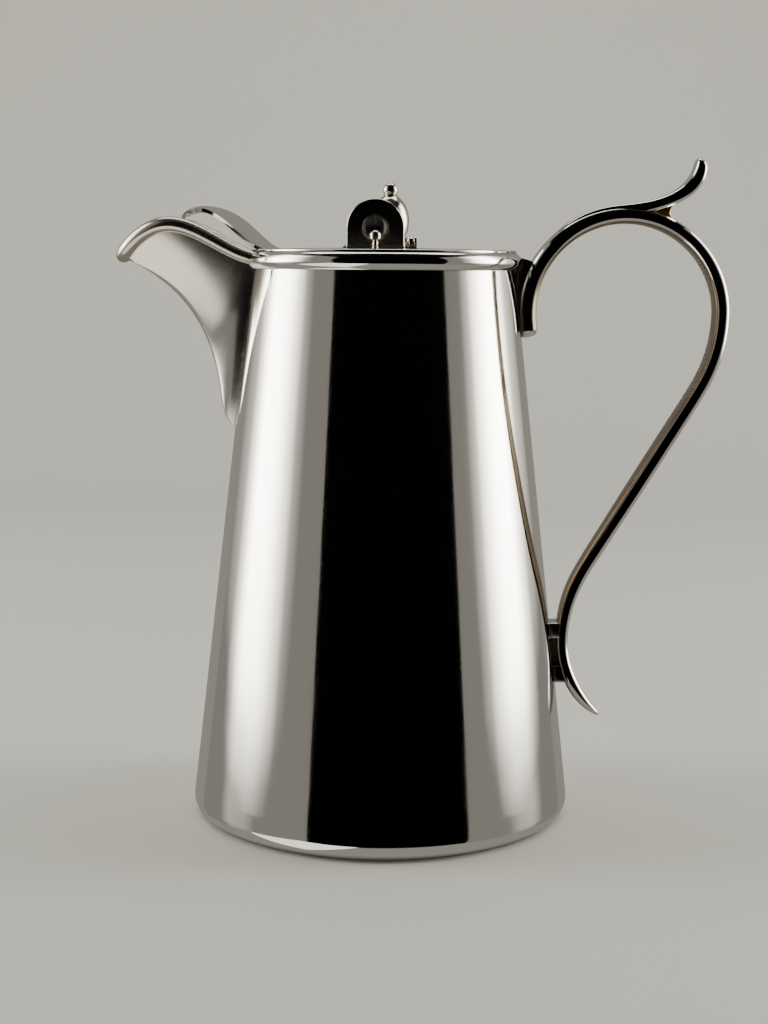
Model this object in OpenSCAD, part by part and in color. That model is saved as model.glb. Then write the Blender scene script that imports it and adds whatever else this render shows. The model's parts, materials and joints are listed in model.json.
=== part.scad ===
// Tapered silver coffee pot: soldered body, beaked spout, strap handle, and a lid in two
// halves whose front half lifts on a cross hinge and carries the arched spout cover.
// Origin on the body axis at the base, +Z up, spout towards -X, handle towards +X.

/* [Body] */
// Widest radius of the body, just above the base
base_r = 60.2; // [56:0.1:64]
// Radius of the body under the rim bead
top_r = 41; // [40:0.1:42]
// Height of the body wall, up to the rim bead
shell_h = 172.7; // [168:0.1:176]
// Radius of the rounded bottom corner
corner_r = 5; // [3:0.1:7]
// Thickness of the body wall
wall = 1.2; // [0.8:0.1:1.6]

/* [Rim and lid] */
// Radius of the rim bead's round section
bead_r = 2.85; // [2.4:0.05:3.2]
// Thickness of the lid plates
lid_t = 0.7; // [0.6:0.1:1.2]
// Rise of the lid from its edge to its centre
lid_rise = 0.7; // [0.5:0.1:2]
// Radius of the lid
lid_r = 41.4; // [40.8:0.1:42]

/* [Hinge and knob] */
// Place of the cross hinge along the pot
hinge_x = -2.7; // [-4:0.1:-2]
// Height of the hinge axis above the lid edge's top
hinge_rise = 6.7; // [6:0.1:7.5]
// Half the width of the upright hinge lugs
lug_w = 8.9; // [8:0.1:9.5]
// Distance from the middle to the outer face of a lug
lug_y = 11; // [10.6:0.1:12]
// Radius of the hinge pins
pin_r = 1.5; // [1.2:0.1:1.8]
// Half the width of the egg-shaped knob
knob_w = 6.2; // [5:0.1:6.3]
// Half the height of the egg-shaped knob
knob_h = 8.6; // [7.5:0.1:9.5]

/* [Spout] */
// Radius of the bead round the spout's edge
lip_r = 2.35; // [2:0.05:2.6]
// Half the width of the spout at the rim
spout_w = 10.8; // [9.5:0.1:12]
// Thickness of the spout's wall
spout_wall = 1.1; // [0.9:0.1:1.4]

/* [Handle] */
// Width of the handle strap
strap_w = 10.6; // [8:0.1:13]
// Radius of the handle's upper arch
arch_r = 30.6; // [29:0.1:32]
// Angle at which the straight part of the handle leans in
lean = 31.4; // [28:0.1:34]

/* [Hidden] */
$fn = 96;

silver = [0.80, 0.79, 0.76];
satin = [0.74, 0.72, 0.68];
solder = [0.78, 0.60, 0.34];
big = 200;
fit = 0.02;

// Body profile
taper = atan((base_r - top_r) / (shell_h - corner_r));
corner_x = base_r - corner_r / cos(taper);
base_disc_r = corner_x - 0.4;
function body_r(z) = base_r - (z - corner_r) * tan(taper);
function arc(cx, cy, r, a0, a1, n) =
    [for (i = [0:n]) [cx + r * cos(a0 + (a1 - a0) * i / n), cy + r * sin(a0 + (a1 - a0) * i / n)]];

// Rim and lid heights
bead_x = top_r - 0.8;
bead_z = shell_h + 2.6;
rim_top = bead_z + 2.7;
lid_gap = 0.05;
lid_edge = rim_top + lid_t;
lid_flat = 2.6;
dome_r = lid_r - lid_flat;
dome_R = (dome_r * dome_r + lid_rise * lid_rise) / (2 * lid_rise);
function lid_top(r) = lid_edge + lid_rise - dome_R + sqrt(dome_R * dome_R - r * r);
hinge_z = lid_edge + hinge_rise;

// Hinge sizes across the pot
lug_t = 1.6;
slot_gap = 0.3;
lug_in = lug_y - lug_t;
ear_out = lug_in - 0.25;
ear_t = 1.6;
ear_r = 4.2;
boss_y = lug_y + 0.2;
boss_r = 4;
boss_h = 1.5;
boss_rim = 0.6;
boss_dish = 0.9;
keeper_r = 1.8;
keeper_drop = 2.5;
keeper_y = boss_y + boss_h + keeper_r + 0.15;
split_x = hinge_x - 0.1;
notch_x = hinge_x - lug_w - 0.4;
tongue_in = lug_in - 1;
tongue_out = keeper_y + 2.2;

// Knob places
knob_x = 1;
knob_z = lid_edge + knob_h;
knob_lean = 5;
knob_ball_r = 2.3;
stud_r = 1.5;
nut_r = 3.4;
nut_t = 2.2;

// Curves
function bez(p, t) = let(u = 1 - t)
    u * u * u * p[0] + 3 * u * u * t * p[1] + 3 * u * t * t * p[2] + t * t * t * p[3];
function reversed(v) = [for (i = [len(v) - 1:-1:0]) v[i]];
function mirror_y(p) = [p[0], -p[1], p[2]];
function unit(v) = v / norm(v);

// Spout: the keel runs down the front, the lip bead round the open edge
keel_tip_z = 122.6;
keel_w = 1.5;
keel = [[-50.5, 126.5], [-52.5, 146], [-56.5, 163.5], [-79.5, 175]];
side_back = [[-39.2, spout_w, 175.7], [-47, spout_w + 0.4, 176.4], [-57, spout_w, 186.2], [-66, 9.2, 186.2]];
side_front = [[-66, 9.2, 186.2], [-73, 8, 186.6], [-81.2, 4.4, 178.2], [-81.6, 0, 176.2]];
spout_steps = 14;
side_pts = 6;

// Half of the lip bead's line, from the rim to the middle of the lip
function lip_line(t) = t < 0.5 ? bez(side_back, 2 * t) : bez(side_front, 2 * t - 1);
lip_half = [for (i = [0:spout_steps]) lip_line(i / spout_steps)];
lip_path = concat(lip_half, [for (i = [spout_steps - 1:-1:0]) mirror_y(lip_half[i])]);

// Edge of the spout wall: up the body from the keel's tip to the rim, then along the lip
rim_s = 0.45;
keel_s = 0.08;
function seam(t) = let(
        z = keel_tip_z + (shell_h + 2 - keel_tip_z) * t,
        y = keel_w + (spout_w - keel_w) * pow(t, 0.85))
    [-sqrt(body_r(z) * body_r(z) - y * y) + 0.7, y, z];
function wall_edge(s) = s < rim_s ? seam(s / rim_s) : lip_line(0.98 * (s - rim_s) / (1 - rim_s));
keel_foot = [-body_r(keel_tip_z) - 0.2, keel_tip_z];
function keel_at(s) = s < keel_s ? keel_foot + (keel[0] - keel_foot) * s / keel_s
    : bez(keel, (s - keel_s) / (1 - keel_s));
function bow(s) = 2.4 * sin(180 * min(1, s * 1.1));
// One side of a spout section, from the open edge down to the keel
function half_section(s, inset) = let(
        k2 = keel_at(s),
        e = wall_edge(s) - [0, inset, 0],
        k = [k2[0] + inset, max(0.3, keel_w - inset / 2), k2[1] + inset * 0.6],
        c = (e + k) / 2 + [-0.5, 0.8, -0.3] * (bow(s) - inset / 2))
    [for (i = [0:side_pts]) let(u = i / side_pts)
        (1 - u) * (1 - u) * e + 2 * u * (1 - u) * c + u * u * k];
function section_loop(s) = let(o = half_section(s, 0), n = half_section(s, spout_wall))
    concat(n, [for (i = [side_pts:-1:0]) mirror_y(n[i])], [for (i = [0:side_pts]) mirror_y(o[i])],
        [for (i = [side_pts:-1:0]) o[i]]);

// Spout cover: ridge and near edge, back part then tip
ridge_back = [[-31, 0, 178.6], [-38, 0, 180], [-42, 0, 192], [-56, 0, 192]];
ridge_tip = [[-56, 0, 192], [-59.5, 0, 192], [-61.8, 0, 190.6], [-63.2, 0, 188.4]];
hood_back = [[-35.5, 7.4, 178.4], [-43.5, 9.8, 179.8], [-47, 10, 188.5], [-56, 8.4, 191.2]];
hood_tip = [[-56, 8.4, 191.2], [-60, 7.4, 191.1], [-62.6, 4.2, 189.8], [-63.2, 1, 188.5]];
hood_t = 1.1;
hood_steps = 22;
hood_pts = 5;
function ridge(t) = t < 0.7 ? bez(ridge_back, t / 0.7) : bez(ridge_tip, (t - 0.7) / 0.3);
function hood_edge(t) = t < 0.7 ? bez(hood_back, t / 0.7) : bez(hood_tip, (t - 0.7) / 0.3);
function hood_half(t, drop) = let(a = ridge(t) - [0, 0, drop], b = hood_edge(t) - [0, 0, drop])
    [for (i = [1:hood_pts]) let(u = i / hood_pts)
        [a[0] + (b[0] - a[0]) * u, b[1] * u, a[2] + (b[2] - a[2]) * u * u]];
function hood_row(t, drop) = let(h = hood_half(t, drop))
    concat([for (i = [hood_pts - 1:-1:0]) mirror_y(h[i])], [ridge(t) - [0, 0, drop]], h);
function hood_loop(t) = concat(hood_row(t, hood_t), reversed(hood_row(t, 0)));

// Handle: a chain of arcs and one straight, each [radius or 0, degrees or length]
arch_x = 75.3;
arch_z = 159.3;
root_angle = 194.5;
chain = [[arch_r, -root_angle], [46, -lean], [0, 67], [44, lean], [31, 54]];
step_deg = 8;
start_heading = root_angle - 90;
root_pos = [arch_x + arch_r * cos(root_angle), arch_z + arch_r * sin(root_angle)];
// Small moves along the chain, each [distance, turn in degrees]
moves = [for (c = chain) let(n = c[0] == 0 ? 6 : ceil(abs(c[1]) / step_deg))
    for (i = [1:n]) c[0] == 0 ? [c[1] / n, 0] : [c[0] * abs(c[1]) / n * PI / 180, c[1] / n]];
// Centre line of the strap: [x, z, heading, distance from the root]
strap_line = [for (i = 0, x = root_pos[0], z = root_pos[1], h = start_heading, s = 0;
    i <= len(moves);
    m = i < len(moves) ? moves[i] : [0, 0],
    x = x + m[0] * cos(h + m[1] / 2),
    z = z + m[0] * sin(h + m[1] / 2),
    h = h + m[1],
    s = s + m[0],
    i = i + 1) [x, z, h, s]];
// Thickness of the strap against distance from the root
strap_taper = [[0, 6.2], [52, 5.1], [104, 4.7], [165, 5], [205, 4.3],
    [222, 3.7], [236, 4.2], [244, 3], [249.5, 0.7]];
function strap_side(side) = [for (q = strap_line) let(t = lookup(q[3], strap_taper) / 2)
    [q[0] + side * t * cos(q[2] + 90), q[1] + side * t * sin(q[2] + 90)]];

// Thumb rest: its upper edge in two curves, its rounded tip and its underside
spur_root = [[50.2, 180.9], [58, 190.5], [66, 192.6], [75, 193.4]];
spur_top = [[75, 193.4], [84, 194.3], [95, 197], [96.6, 206.4]];
spur_tip = [[96.6, 206.4], [96.9, 208.2], [100, 207.2], [100, 204.3]];
spur_under = [[100, 204.3], [99.5, 196], [90, 192.6], [82.5, 190.6]];
solder_web = [[82, 190], [89.4, 193.2], [88.7, 190.8], [91, 187.6], [86, 186]];
solder_w = 7;
block_w = 8;
waist_w = 4;

// Closed loft through loops with the same number of points, with strip caps at both ends
module loft(loops) {
    n = len(loops[0]);
    m = len(loops);
    half = n / 2;
    points = [for (l = loops) each l];
    skin = [for (j = [0:m - 2], i = [0:n - 1]) let(k = (i + 1) % n)
        each [[j * n + i, j * n + k, (j + 1) * n + k], [j * n + i, (j + 1) * n + k, (j + 1) * n + i]]];
    cap_a = [for (i = [0:half - 2])
        each [[i + 1, i, n - 1 - i], [i + 1, n - 1 - i, n - 2 - i]]];
    last = (m - 1) * n;
    cap_b = [for (i = [0:half - 2])
        each [[last + i, last + i + 1, last + n - 1 - i],
            [last + i + 1, last + n - 2 - i, last + n - 1 - i]]];
    polyhedron(points, concat(skin, cap_a, cap_b), convexity = 6);
}

// Round tube along a path, with the radius given at each point
module tube(path, radii, sides = 12) {
    n = len(path);
    rings = [for (i = [0:n - 1]) let(
            d = unit(path[min(n - 1, i + 1)] - path[max(0, i - 1)]),
            a = unit(cross(d, [0, 0, 1])),
            b = cross(d, a))
        [for (k = [0:sides - 1]) path[i] + radii[i] * (cos(360 * k / sides) * a - sin(360 * k / sides) * b)]];
    loft(rings);
}

// Shape drawn in the X-Z plane, given a thickness across the pot from y0 to y1
module across(y0, y1) {
    translate([0, y1, 0]) rotate([90, 0, 0]) linear_extrude(y1 - y0) children();
}

// Space taken by the body wall and all inside it, grown by the fit
module body_space() {
    rotate_extrude($fn = 180)
        polygon([[0, 0], [body_r(0) + fit, 0], [body_r(shell_h) + fit, shell_h], [0, shell_h]]);
}

module rim_space() {
    rotate_extrude($fn = 180) union() {
        square([bead_x, shell_h + 20]);
        translate([bead_x, bead_z]) circle(bead_r + fit, $fn = 48);
    }
}

module lip_tube(grow = 0) {
    n = len(lip_path);
    tube(lip_path, [for (i = [0:n - 1]) lip_r + grow - 0.35 * pow(abs(2 * i / (n - 1) - 1), 3)]);
}

module body_shell() {
    in_x = corner_x;
    color(silver) difference() {
        rotate_extrude() polygon(concat(
            [[base_disc_r, 0]],
            arc(corner_x, corner_r, corner_r, -90, taper, 10),
            [[top_r, shell_h], [top_r - wall, shell_h]],
            reversed(arc(in_x, corner_r, corner_r - wall, -90, taper, 10)),
            [[base_disc_r, wall]]));
        strainer_holes();
    }
}

// Pouring holes behind the spout, in rows that widen upwards with the spout
strainer_row = 6.2;
strainer_z = 131;
strainer_step = 4.3;
strainer_r = 1.6;
module strainer_holes() {
    for (k = [0:6]) {
        n = 1 + floor(0.7 * k);
        for (i = [0:n - 1])
            translate([-60, (i - (n - 1) / 2) * strainer_step, strainer_z + k * strainer_row])
                rotate([0, 90, 0]) cylinder(h = 30, r = strainer_r, $fn = 24);
    }
}

module base_plate() {
    color(silver) cylinder(h = wall, r = base_disc_r);
}

module rim_bead() {
    color(silver) rotate_extrude() intersection() {
        translate([bead_x, bead_z]) circle(bead_r, $fn = 40);
        translate([bead_x - 1.6, shell_h]) square([6, rim_top - shell_h]);
    }
}

module spout_shell() {
    color(satin) difference() {
        loft([for (i = [0:26]) section_loop(i / 26)]);
        body_space();
        rim_space();
        lip_tube(fit);
    }
}

module spout_bead() {
    color(silver) difference() {
        lip_tube();
        body_space();
        rim_space();
    }
}

module strap_outline() {
    polygon(concat(strap_side(1), reversed(strap_side(-1))));
}

module handle_strap() {
    color(silver) difference() {
        across(-strap_w / 2, strap_w / 2) strap_outline();
        body_space();
    }
}

// Thumb rest: a curved horn that leaves the top of the arch and turns up
module spur_outline() {
    polygon([for (edge = [spur_root, spur_top, spur_tip, spur_under])
        each [for (i = [0:9]) bez(edge, i / 10)]]);
}

module handle_spur() {
    color(silver) across(-strap_w / 2 + 0.8, strap_w / 2 - 0.8) difference() {
        spur_outline();
        strap_outline();
        translate([arch_x, arch_z]) circle(arch_r + 2);
    }
}

// Solder left in the crotch under the spur
module spur_solder() {
    color(solder) across(-solder_w / 2, solder_w / 2) difference() {
        polygon(solder_web);
        strap_outline();
        spur_outline();
        translate([arch_x, arch_z]) circle(arch_r + 2);
    }
}

// Packing piece between the rim and the strap
module handle_rim_block() {
    color(silver) difference() {
        across(-block_w / 2, block_w / 2)
            polygon([[38, 153], [44, 153], [44.6, 166], [46.6, 169.5], [50.2, 177.2], [38, 177.2]]);
        across(-block_w, block_w) strap_outline();
        body_space();
        rim_space();
    }
}

// Packing piece that stands the strap off the lower body
module handle_lower_foot() {
    color(silver) difference() {
        union() {
            across(-block_w / 2, block_w / 2) {
                polygon([[50, 41.5], [61, 41.5], [59.3, 47], [50, 47]]);
                polygon([[50, 56], [58, 56], [58, 61], [50, 61]]);
            }
            across(-waist_w / 2, waist_w / 2)
                polygon([[50, 46], [59.5, 46], [58, 53], [58, 57], [50, 57]]);
        }
        across(-block_w, block_w) strap_outline();
        body_space();
    }
}

// Domed lid plate with a flat seat round its edge, kept where the child's plan covers it
module lid_plate(seat) {
    intersection() {
        rotate_extrude() polygon(concat(
            [[0, seat + lid_rise], [0, lid_edge + lid_rise]],
            [for (i = [1:12]) let(r = dome_r * i / 12) [r, lid_top(r)]],
            [[lid_r - 0.3, lid_edge], [lid_r, lid_edge - 0.3], [lid_r, seat], [dome_r, seat]],
            [for (i = [11:-1:1]) let(r = dome_r * i / 12) [r, lid_top(r) - lid_edge + seat]]));
        translate([0, 0, seat - 1]) linear_extrude(lid_t + lid_rise + 4) children();
    }
}

// Plan of the fixed half: all behind the split, with a tongue under each lug
module rear_plan(grow = 0) {
    translate([split_x - grow, -big / 2]) square([big, big]);
    for (side = [-1, 1])
        translate([notch_x - grow, (side > 0 ? tongue_in : -tongue_out) - grow])
            square([lug_w * 2, tongue_out - tongue_in + 2 * grow]);
}

module lid_rear() {
    color(silver) difference() {
        lid_plate(rim_top) rear_plan();
        translate([knob_x, 0, rim_top - 2]) cylinder(h = 10, r = stud_r, $fn = 32);
    }
}

module lid_flap() {
    color(silver) lid_plate(rim_top + lid_gap) difference() {
        square(big, center = true);
        rear_plan(slot_gap);
    }
}

// Everything at or below the top of the lid
module lid_space() {
    rotate_extrude() polygon(concat([[0, 170], [0, lid_edge + lid_rise]],
        [for (i = [1:12]) let(r = dome_r * i / 12) [r, lid_top(r)]],
        [[lid_r - 0.3, lid_edge], [lid_r, lid_edge - 0.3], [lid_r, 170]]));
}

module spout_hood() {
    color(silver) difference() {
        loft([for (i = [0:hood_steps]) hood_loop(i / hood_steps)]);
        lid_space();
    }
}

module lug(side) {
    color(silver) difference() {
        across(min(side * lug_in, side * lug_y), max(side * lug_in, side * lug_y)) union() {
            translate([hinge_x, hinge_z]) circle(lug_w);
            translate([hinge_x - lug_w, rim_top]) square([2 * lug_w, hinge_z - rim_top]);
        }
        lid_space();
        translate([hinge_x, -big / 2, hinge_z]) rotate([-90, 0, 0])
            cylinder(h = big, r = pin_r + 0.05, $fn = 48);
    }
}

module flap_ear(side) {
    y0 = side * ear_out;
    y1 = side * (ear_out - ear_t);
    color(silver) difference() {
        across(min(y0, y1), max(y0, y1)) union() {
            translate([hinge_x, hinge_z]) circle(ear_r, $fn = 64);
            polygon([[hinge_x - 11, rim_top], [split_x - slot_gap - 0.3, rim_top],
                [hinge_x - 0.4, hinge_z - 4], [hinge_x, hinge_z], [hinge_x - ear_r, hinge_z],
                [hinge_x - 6, hinge_z - 3.5]]);
        }
        lid_space();
        translate([hinge_x, -big / 2, hinge_z]) rotate([-90, 0, 0]) cylinder(h = big, r = pin_r, $fn = 48);
    }
}

module hinge_pin(side) {
    color(silver) translate([hinge_x, 0, hinge_z]) rotate([-90 * side, 0, 0])
        translate([0, 0, ear_out - ear_t]) cylinder(h = boss_y - ear_out + ear_t, r = pin_r, $fn = 48);
}

// Dished boss on the outer end of a pin
module pin_boss(side) {
    dish_r = boss_r - boss_rim;
    color(silver) translate([hinge_x, 0, hinge_z]) rotate([-90 * side, 0, 0]) translate([0, 0, boss_y])
        rotate_extrude($fn = 64) polygon(concat(
            [[0, 0], [boss_r, 0], [boss_r, boss_h - 0.3], [boss_r - 0.3, boss_h]],
            [for (i = [0:6]) let(u = 1 - i / 6) [dish_r * u, boss_h - boss_dish * (1 - u * u)]]));
}

// Ball-headed post that stands in front of a boss and keeps the pin in
module pin_keeper(side) {
    ball_z = hinge_z - keeper_drop;
    color(silver) difference() {
        translate([hinge_x, side * keeper_y, 0]) union() {
            translate([0, 0, ball_z]) sphere(keeper_r, $fn = 32);
            translate([0, 0, rim_top]) cylinder(h = ball_z - rim_top, r1 = 1.9, r2 = 0.8, $fn = 32);
        }
        lid_space();
    }
}

module knob_shape() {
    translate([knob_x, 0, knob_z]) rotate([0, knob_lean, 0]) rotate_extrude($fn = 64)
        polygon(concat([for (i = [0:16]) let(a = -90 + 180 * i / 16) [knob_w * cos(a), knob_h * sin(a)]]));
}

module knob_body() {
    color(silver) difference() {
        knob_shape();
        lid_space();
        translate([knob_x, 0, rim_top - 2]) cylinder(h = lid_t + lid_rise + 8, r = stud_r, $fn = 32);
    }
}

module knob_ball() {
    reach = knob_h + knob_ball_r - 1;
    color(silver) difference() {
        translate([knob_x + reach * sin(knob_lean), 0, knob_z + reach * cos(knob_lean)])
            sphere(knob_ball_r, $fn = 32);
        knob_shape();
    }
}

// Threaded stud from inside the knob, through the lid to the nut
module knob_stud() {
    from_z = rim_top + lid_rise - nut_t - 0.6;
    to_z = rim_top + lid_rise + lid_t + 6;
    color(satin) translate([knob_x, 0, from_z]) cylinder(h = to_z - from_z, r = stud_r, $fn = 32);
}

module knob_nut() {
    color(satin) difference() {
        translate([knob_x, 0, rim_top + lid_rise - nut_t - 0.05]) cylinder(h = nut_t, r = nut_r, $fn = 6);
        translate([knob_x, 0, rim_top - 4]) cylinder(h = 10, r = stud_r, $fn = 32);
    }
}

// Small round button lying on its side behind the knob, with a thin backing disc
stop_x = 9.4;
stop_y = 5;
stop_z = lid_edge + lid_rise + 1.6;
module stop_button() {
    color(silver) difference() {
        translate([stop_x - 1.5, stop_y, stop_z]) sphere(2.1, $fn = 32);
        translate([stop_x, stop_y - 5, stop_z - 5]) cube(10);
        lid_space();
    }
}

module stop_plate() {
    color(silver) difference() {
        translate([stop_x, stop_y, stop_z]) rotate([0, 90, 0]) cylinder(h = 0.9, r = 2.3, $fn = 32);
        lid_space();
    }
}

body_shell();
base_plate();
rim_bead();
spout_shell();
spout_bead();
handle_strap();
handle_spur();
spur_solder();
handle_rim_block();
handle_lower_foot();
lid_rear();
lid_flap();
spout_hood();
lug(-1);  // hinge_lug_near
lug(1);  // hinge_lug_far
flap_ear(-1);  // flap_ear_near
flap_ear(1);  // flap_ear_far
hinge_pin(-1);  // hinge_pin_near
hinge_pin(1);  // hinge_pin_far
pin_boss(-1);  // pin_boss_near
pin_boss(1);  // pin_boss_far
pin_keeper(-1);  // pin_keeper_near
pin_keeper(1);  // pin_keeper_far
knob_body();
knob_ball();
knob_stud();
knob_nut();
stop_button();
stop_plate();
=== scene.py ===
import json
import math

import bmesh
import bpy
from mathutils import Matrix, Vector


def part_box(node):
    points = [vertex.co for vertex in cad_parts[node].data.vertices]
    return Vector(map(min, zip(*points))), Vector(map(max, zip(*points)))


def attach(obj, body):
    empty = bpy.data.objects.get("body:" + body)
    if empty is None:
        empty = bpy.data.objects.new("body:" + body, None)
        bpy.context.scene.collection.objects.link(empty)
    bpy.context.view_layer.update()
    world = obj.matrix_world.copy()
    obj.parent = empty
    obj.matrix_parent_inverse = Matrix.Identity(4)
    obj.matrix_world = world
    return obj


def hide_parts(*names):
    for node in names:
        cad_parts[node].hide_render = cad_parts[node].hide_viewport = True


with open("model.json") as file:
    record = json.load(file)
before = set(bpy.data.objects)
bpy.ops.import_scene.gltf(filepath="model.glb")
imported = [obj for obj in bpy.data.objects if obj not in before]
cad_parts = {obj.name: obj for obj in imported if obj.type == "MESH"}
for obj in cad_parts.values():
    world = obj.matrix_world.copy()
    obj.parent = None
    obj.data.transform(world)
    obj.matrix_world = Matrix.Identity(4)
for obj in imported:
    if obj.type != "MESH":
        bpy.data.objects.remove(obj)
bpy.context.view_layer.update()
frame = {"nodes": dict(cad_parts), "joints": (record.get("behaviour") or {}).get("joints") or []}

# ---------------------------------------------------------------------------
# Sizes, in millimetres. What the frame holds is read from it.
# ---------------------------------------------------------------------------

MM = 0.001


def low(node):
    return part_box(node)[0] / MM


def high(node):
    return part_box(node)[1] / MM


BASE_R = high("body_shell").y
SHELL_H = high("body_shell").z
TOP_R = 41.0
CORNER_R = 5.0
WALL = 1.2
TAPER = math.atan((BASE_R - TOP_R) / (SHELL_H - CORNER_R))
DISC_R = high("base_plate").y

RIM_R = high("rim_bead").y
RIM_TOP = high("rim_bead").z
BEAD_R = 2.85
BEAD_RISE = 2.7
BEAD_X = RIM_R - BEAD_R
BEAD_Z = RIM_TOP - BEAD_RISE

LID_R = high("lid_rear").x
LID_T = 0.7
LID_EDGE = RIM_TOP + LID_T
LID_TOP = high("lid_rear").z
SEAT_W = 2.6
DOME_R = LID_R - SEAT_W
DOME_BALL = (DOME_R ** 2 + (LID_TOP - LID_EDGE) ** 2) / (2 * (LID_TOP - LID_EDGE))

HINGE = Vector(frame["joints"][0]["pos_m"]) / MM
LUG_W = high("hinge_lug_near").x - HINGE.x
LUG_IN = low("hinge_lug_far").y
LUG_OUT = high("hinge_lug_far").y
EAR_IN = low("flap_ear_far").y
EAR_OUT = high("flap_ear_far").y
BOSS_Y = low("pin_boss_far").y
BOSS_R = 4.0
BOSS_LIP = 0.7
KEEPER_R = 1.8
PIN_R = 1.5
# The fixed half of the lid reaches forward in a tongue under each lug
TONGUE_IN = LUG_IN - 1
TONGUE_OUT = 16.85
TONGUE_X = HINGE.x - LUG_W - 0.4
SPLIT_X = HINGE.x - 0.1
SLOT = 0.3


def body_radius(z):
    return BASE_R - (z - CORNER_R) * math.tan(TAPER)


def lid_height(r):
    return LID_TOP - DOME_BALL + math.sqrt(DOME_BALL ** 2 - r * r)


def arc(cx, cz, radius, start, end, steps):
    """Points on an arc in the X-Z plane, from one angle to the other, in degrees."""
    turns = [math.radians(start + (end - start) * i / steps) for i in range(steps + 1)]
    return [(cx + radius * math.cos(a), cz + radius * math.sin(a)) for a in turns]


def bezier(points, t):
    """A point on the cubic through four control points."""
    u = 1 - t
    a, b, c, d = (Vector(p) for p in points)
    return a * u ** 3 + b * 3 * u * u * t + c * 3 * u * t * t + d * t ** 3


def along(table, s):
    """The value at s in a table of (s, value) pairs, straight between them."""
    for (s0, v0), (s1, v1) in zip(table, table[1:]):
        if s <= s1:
            return v0 + (v1 - v0) * (s - s0) / (s1 - s0)
    return table[-1][1]


# ---------------------------------------------------------------------------
# Modelling by hand: every piece is drawn in edit mode, at the origin
# ---------------------------------------------------------------------------


def new_piece(name):
    """An empty mesh at the origin, open in edit mode."""
    if bpy.context.mode != "OBJECT":
        bpy.ops.object.mode_set(mode="OBJECT")
    bpy.ops.object.select_all(action="DESELECT")
    bpy.ops.mesh.primitive_plane_add(size=MM, location=(0, 0, 0))
    piece = bpy.context.object
    piece.name = name
    piece.data.name = name
    bpy.ops.object.mode_set(mode="EDIT")
    bpy.ops.mesh.delete(type="VERT")
    return piece


def draw(points, closed=False):
    """Extrudes a line of edges from point to point."""
    bpy.ops.mesh.select_all(action="DESELECT")
    places = [Vector(p) * MM for p in points]
    bpy.ops.mesh.primitive_plane_add(size=MM / 100, location=places[0])
    bpy.ops.mesh.merge(type="CENTER")
    for here, there in zip(places, places[1:]):
        bpy.ops.mesh.extrude_region_move(TRANSFORM_OT_translate={"value": there - here})
    if closed:
        pick(lambda v: min((v - places[0]).length, (v - places[-1]).length) < MM / 1000)
        bpy.ops.mesh.edge_face_add()


def pick(test):
    """Selects the vertices whose place passes the test."""
    bpy.ops.mesh.select_all(action="DESELECT")
    mesh = bmesh.from_edit_mesh(bpy.context.object.data)
    for v in mesh.verts:
        v.select = test(v.co)
    mesh.select_flush(True)
    bmesh.update_edit_mesh(bpy.context.object.data)


def weld():
    bpy.ops.mesh.select_all(action="SELECT")
    bpy.ops.mesh.remove_doubles(threshold=MM / 200)
    bpy.ops.mesh.normals_make_consistent(inside=False)


def lathe(name, outline, steps=144, centre=(0, 0, 0)):
    """Spins an outline of (radius, height) points round an upright axis."""
    piece = new_piece(name)
    cx, cy, cz = centre
    draw([(cx + r, cy, cz + z) for r, z in outline])
    bpy.ops.mesh.select_all(action="SELECT")
    axis_place = Vector((cx, cy, cz)) * MM
    bpy.ops.mesh.spin(steps=steps, angle=2 * math.pi, center=axis_place, axis=(0, 0, 1))
    weld()
    return piece


def swing(piece, degrees, axis, centre):
    """Turns all of a piece about a point."""
    bpy.ops.mesh.select_all(action="SELECT")
    turn = -math.radians(degrees)
    bpy.ops.transform.rotate(value=turn, orient_axis=axis, center_override=Vector(centre) * MM)


def laid(piece, degrees, axis, place):
    """Turns a piece about the origin, then carries it to its place."""
    swing(piece, degrees, axis, (0, 0, 0))
    bpy.ops.transform.translate(value=Vector(place) * MM)
    bpy.ops.mesh.normals_make_consistent(inside=False)


def loft(name, rows, closed=False, caps=False):
    """A skin over rows of points: each row is drawn, then bridged to the one before."""
    piece = new_piece(name)
    for row in rows:
        draw(row, closed)
    for above, below in zip(rows, rows[1:]):
        places = [Vector(p) * MM for p in above + below]
        keys = {tuple(round(c * 1e6) for c in p) for p in places}
        near = {(x + i, y + j, z + k) for x, y, z in keys
                for i in (-1, 0, 1) for j in (-1, 0, 1) for k in (-1, 0, 1)}
        pick(lambda v: tuple(round(c * 1e6) for c in v) in near)
        bpy.ops.mesh.bridge_edge_loops()
    if caps:
        for row in (rows[0], rows[-1]):
            places = [Vector(p) * MM for p in row]
            pick(lambda v: min((v - p).length for p in places) < MM / 500)
            bpy.ops.mesh.edge_face_add()
    weld()
    return piece


def apply_modifier(piece, kind, **settings):
    """Adds one modifier with its settings and applies it."""
    if bpy.context.mode != "OBJECT":
        bpy.ops.object.mode_set(mode="OBJECT")
    modifier = piece.modifiers.new(kind.lower(), kind)
    for key, value in settings.items():
        setattr(modifier, key, value)
    bpy.ops.object.select_all(action="DESELECT")
    piece.select_set(True)
    bpy.context.view_layer.objects.active = piece
    bpy.ops.object.modifier_apply(modifier=modifier.name)


def smoothed(piece, levels=2):
    apply_modifier(piece, "SUBSURF", levels=levels, render_levels=levels)


def rounded(piece, width, segments=3, angle=40):
    apply_modifier(piece, "BEVEL", width=width * MM, segments=segments,
                   limit_method="ANGLE", angle_limit=math.radians(angle))


def cut(piece, cutter, how="DIFFERENCE"):
    """Cuts one piece with another, which is then removed."""
    bpy.ops.object.mode_set(mode="OBJECT")
    apply_modifier(piece, "BOOLEAN", object=cutter, operation=how, solver="EXACT")
    bpy.data.objects.remove(cutter)


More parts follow.
